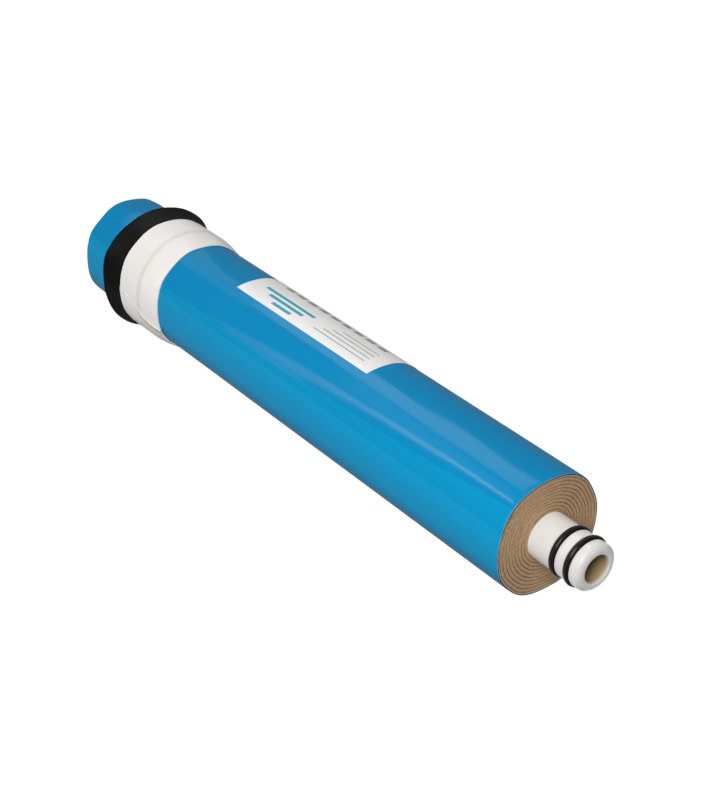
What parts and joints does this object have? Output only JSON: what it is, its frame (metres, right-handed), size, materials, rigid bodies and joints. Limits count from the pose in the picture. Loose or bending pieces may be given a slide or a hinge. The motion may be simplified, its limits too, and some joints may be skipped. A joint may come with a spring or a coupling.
{
  "type": "spiral-wound reverse osmosis membrane element",
  "caption": "Cylindrical spiral-wound membrane roll on a perforated permeate tube, with an O-ring spigot at one end and a flared rubber brine seal near the other.",
  "frame": {"origin": "centre of the feed end face, on the tube's axis, where the element stands on it", "axes": "+Z along the permeate tube's axis, from the closed feed end to the O-ring spigot; +X and +Y radial"},
  "size_m": [0.0552, 0.056, 0.2957],
  "materials": {
    "tube_plastic": "moulded polypropylene, soft gloss",
    "plug_plastic": "moulded polypropylene",
    "o_ring_rubber": "moulded nitrile rubber, lightly greased",
    "carrier_knit": "epoxy-stiffened polyester knit",
    "membrane_sheet": "coated polyester non-woven sheet",
    "spacer_net": "extruded diamond net",
    "glue": "cured polyurethane adhesive",
    "blue_film": "stretched vinyl tape, glossy",
    "label_film": "printed film label",
    "seal_rubber": "moulded rubber, satin",
    "white_tape": "vinyl tape, satin gloss"
  },
  "bodies": {
    "root": {"permeate_tube": "tube_plastic", "tube_plug": "plug_plastic", "o_ring_inner": "o_ring_rubber", "o_ring_outer": "o_ring_rubber", "permeate_carrier": "carrier_knit", "membrane_leaf": "membrane_sheet", "feed_spacer": "spacer_net", "leaf_edge_glue": "glue", "core_glue_feed_end": "glue", "core_glue_outlet_end": "glue", "outer_film": "blue_film", "label": "label_film", "brine_seal": "seal_rubber", "seal_tape": "white_tape"}
  },
  "joints": []
}
